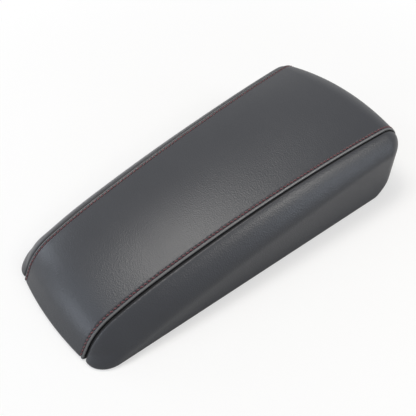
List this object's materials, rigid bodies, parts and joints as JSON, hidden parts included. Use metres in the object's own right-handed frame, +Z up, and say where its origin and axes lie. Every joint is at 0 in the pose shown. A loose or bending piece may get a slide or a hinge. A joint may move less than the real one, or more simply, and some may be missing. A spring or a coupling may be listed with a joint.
{
  "type": "car centre armrest",
  "caption": "Padded centre armrest lid with a sewn dark leather cover, tall rear and rounded nose, on a rear hinge bracket, with a finger latch underneath.",
  "frame": {"origin": "centre of the bounding box's footprint, on the plane of the console's top that the bracket and buffers stand on", "axes": "+X across the lid to its right, +Y from the low nose to the tall rear and hinge, +Z up"},
  "size_m": [0.156, 0.3311, 0.0718],
  "materials": {
    "cover_leather": "fine grained, dark charcoal, soft sheen",
    "pad_foam": "moulded foam",
    "carrier_plastic": "moulded, plain",
    "liner_plastic": "fine textured",
    "paddle_plastic": "satin",
    "buffer_rubber": "matt",
    "washer_plastic": "plain acetal",
    "hinge_steel": "zinc plated, pressed",
    "pin_steel": "bright",
    "blackened_steel": "black zinc"
  },
  "bodies": {
    "bracket": {"hinge_bracket": "hinge_steel", "hinge_pin": "pin_steel", "friction_washers": "washer_plastic"},
    "lid": {"centre_panel": "cover_leather", "left_side_panel": "cover_leather", "right_side_panel": "cover_leather", "foam_pad": "pad_foam", "carrier": "carrier_plastic", "liner": "liner_plastic", "liner_screws": "blackened_steel", "rubber_buffers": "buffer_rubber", "lid_hinge_plate": "hinge_steel", "hinge_plate_screws": "blackened_steel", "latch_frame": "liner_plastic", "latch_frame_screws": "blackened_steel", "latch_pin": "pin_steel", "latch_spring": "pin_steel"},
    "latch": {"latch_paddle": "paddle_plastic"}
  },
  "joints": [
    {"name": "lid_hinge", "type": "hinge", "parent": "bracket", "child": "lid", "pos_m": [0, 0.15792, 0.008], "axis": [-1, 0, 0], "range_deg": [0, 90]},
    {"name": "latch_hinge", "type": "hinge", "parent": "lid", "child": "latch", "pos_m": [0, -0.10798, 0.009], "axis": [-1, 0, 0], "range_deg": [0, 14], "stiffness_Nm_per_rad": 0.15, "springref_deg": -20.05, "deforming": ["latch_spring"]}
  ]
}
